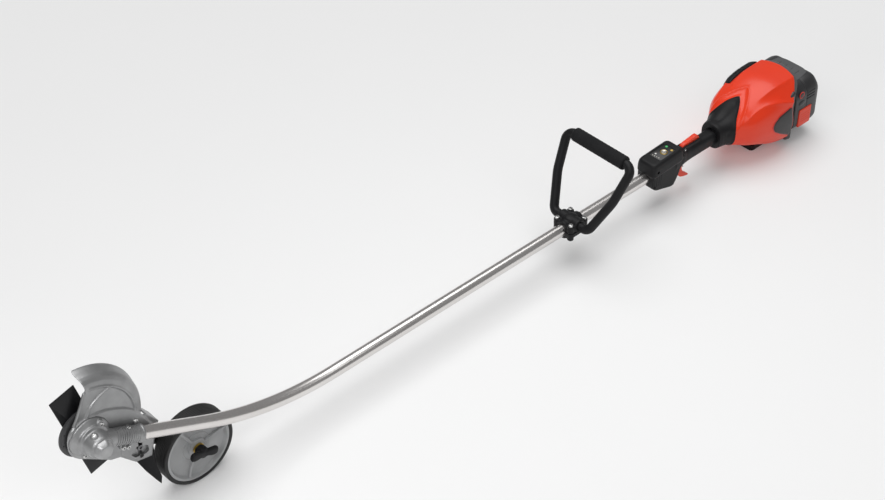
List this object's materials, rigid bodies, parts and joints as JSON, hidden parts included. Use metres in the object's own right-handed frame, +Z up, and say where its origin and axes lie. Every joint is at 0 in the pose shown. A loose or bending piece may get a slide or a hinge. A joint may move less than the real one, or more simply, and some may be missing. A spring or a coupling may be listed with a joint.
{
  "type": "lawn edger",
  "caption": "Battery lawn edger: bent tube shaft, right-angle gear head with bar blade and cast guard, depth wheel, D front handle, rear grip with trigger, orange motor housing with battery.",
  "frame": {"origin": "middle of the bottom of the whole object's box, on the ground it rests on", "axes": "+X back along the shaft from the blade to the battery, +Z up, +Y across, towards the blade's and the wheel's side"},
  "size_m": [1.85, 0.187, 0.3664],
  "materials": {
    "cast_aluminium": "satin cast",
    "tube_aluminium": "polished",
    "black_plastic": "fine texture",
    "keypad_black": "satin film",
    "orange_gloss": "gloss",
    "orange_control": "satin",
    "frame_grey": "satin",
    "battery_black": "satin",
    "hub_grey": "satin",
    "tyre_black": "matte",
    "rubber": "matte",
    "foam": "textured",
    "blade_steel": "satin black",
    "bright_steel": "zinc plated",
    "zinc_steel": "satin",
    "brass": "satin",
    "liner_plastic": "plain",
    "lamination": "plain",
    "copper": "enamelled wire",
    "board_green": "plain",
    "lens": "gloss",
    "button_silver": "satin",
    "cell_wrap": "plain"
  },
  "bodies": {
    "frame": {"shaft_tube": "tube_aluminium", "cable_liner": "liner_plastic", "drive_cable": "bright_steel", "gearcase": "cast_aluminium", "nose_cap": "cast_aluminium", "flange_bolts": "bright_steel", "head_screws": "bright_steel", "head_bearings": "bright_steel", "spindle_seal": "rubber", "guard": "cast_aluminium", "debris_flap": "rubber", "handle_case_near": "black_plastic", "handle_case_far": "black_plastic", "case_screws": "bright_steel", "keypad_panel": "keypad_black", "indicator_lenses": "lens", "keypad_board": "board_green", "lever_pins": "bright_steel", "trigger_switch": "black_plastic", "neck_boot": "black_plastic", "vent_rail": "black_plastic", "motor_cover_top": "orange_gloss", "motor_cover_bottom": "orange_gloss", "rear_frame": "frame_grey", "skid_foot": "black_plastic", "motor_housing": "cast_aluminium", "motor_stator": "lamination", "stator_windings": "copper", "motor_bearings": "bright_steel", "controller_board": "board_green"},
    "cutter": {"spindle": "bright_steel", "bevel_gear": "bright_steel", "dust_disc": "blade_steel", "blade_driver": "blade_steel", "blade": "blade_steel", "blade_washer": "blade_steel", "blade_nut": "bright_steel"},
    "pinion": {"pinion_gear": "bright_steel"},
    "rotor": {"motor_rotor": "lamination", "motor_shaft": "bright_steel", "drive_coupler": "bright_steel", "cooling_fan": "black_plastic"},
    "wheel_carrier": {"wheel_bracket": "zinc_steel", "axle_bolt": "bright_steel", "axle_bush": "brass", "depth_clamp": "bright_steel"},
    "wheel": {"tyre": "tyre_black", "wheel_hub": "hub_grey"},
    "wheel_knob": {"wing_knob": "black_plastic"},
    "handle_clamp": {"clamp_lower": "black_plastic", "clamp_upper": "black_plastic", "clamp_bolts": "bright_steel"},
    "front_handle": {"handle_loop": "rubber", "handle_grip": "foam"},
    "trigger": {"trigger": "orange_control"},
    "lockout": {"lockout_lever": "orange_control"},
    "button": {"power_button": "button_silver"},
    "battery": {"battery_case": "battery_black", "battery_cells": "cell_wrap"},
    "latch": {"battery_latch": "orange_control"}
  },
  "joints": [
    {"name": "cutter_spin", "type": "hinge", "parent": "frame", "child": "cutter", "pos_m": [-0.87499, 0, 0.2507], "axis": [0, 1, 0], "continuous": true},
    {"name": "pinion_spin", "type": "hinge", "parent": "frame", "child": "pinion", "pos_m": [-0.87499, 0, 0.2507], "axis": [0.8988, 0, -0.4384], "continuous": true},
    {"name": "rotor_spin", "type": "hinge", "parent": "frame", "child": "rotor", "pos_m": [0.76502, 0, 0.08072], "axis": [1, 0, 0], "continuous": true},
    {"name": "wheel_depth", "type": "slide", "parent": "frame", "child": "wheel_carrier", "axis": [0, 0, 1], "range_m": [-0.012, 0.012]},
    {"name": "wheel_spin", "type": "hinge", "parent": "wheel_carrier", "child": "wheel", "pos_m": [-0.66929, 0.033, 0.074], "axis": [0, 1, 0], "continuous": true},
    {"name": "knob_turn", "type": "hinge", "parent": "wheel_carrier", "child": "wheel_knob", "pos_m": [-0.66929, 0, 0.074], "axis": [0, -1, 0], "range_deg": [0, 360]},
    {"name": "handle_slide", "type": "slide", "parent": "frame", "child": "handle_clamp", "axis": [1, 0, 0], "range_m": [-0.15, 0.08]},
    {"name": "handle_tilt", "type": "hinge", "parent": "handle_clamp", "child": "front_handle", "pos_m": [0.23402, 0, 0.08972], "axis": [0, 1, 0], "range_deg": [-25, 20]},
    {"name": "trigger_pull", "type": "hinge", "parent": "frame", "child": "trigger", "pos_m": [0.55502, 0, 0.06222], "axis": [0, -1, 0], "range_deg": [0, 14], "stiffness_Nm_per_rad": 0.4, "springref_deg": -14.32},
    {"name": "lockout_press", "type": "hinge", "parent": "frame", "child": "lockout", "pos_m": [0.55902, 0, 0.10072], "axis": [0, 1, 0], "range_deg": [0, 6], "stiffness_Nm_per_rad": 0.4, "springref_deg": -14.32},
    {"name": "button_press", "type": "slide", "parent": "frame", "child": "button", "axis": [0.1465, 0, -0.9892], "range_m": [0, 0.0012], "stiffness_N_per_m": 400, "springref_m": -0.0006},
    {"name": "battery_slide", "type": "slide", "parent": "frame", "child": "battery", "axis": [1, 0, 0], "range_m": [0, 0.12]},
    {"name": "latch_press", "type": "slide", "parent": "battery", "child": "latch", "axis": [0, 1, 0], "range_m": [0, 0.003], "stiffness_N_per_m": 900, "springref_m": -0.001}
  ],
  "couplings": [
    {"joint": "pinion_spin", "follows": "cutter_spin", "ratio": 2},
    {"joint": "rotor_spin", "follows": "cutter_spin", "ratio": 2}
  ]
}
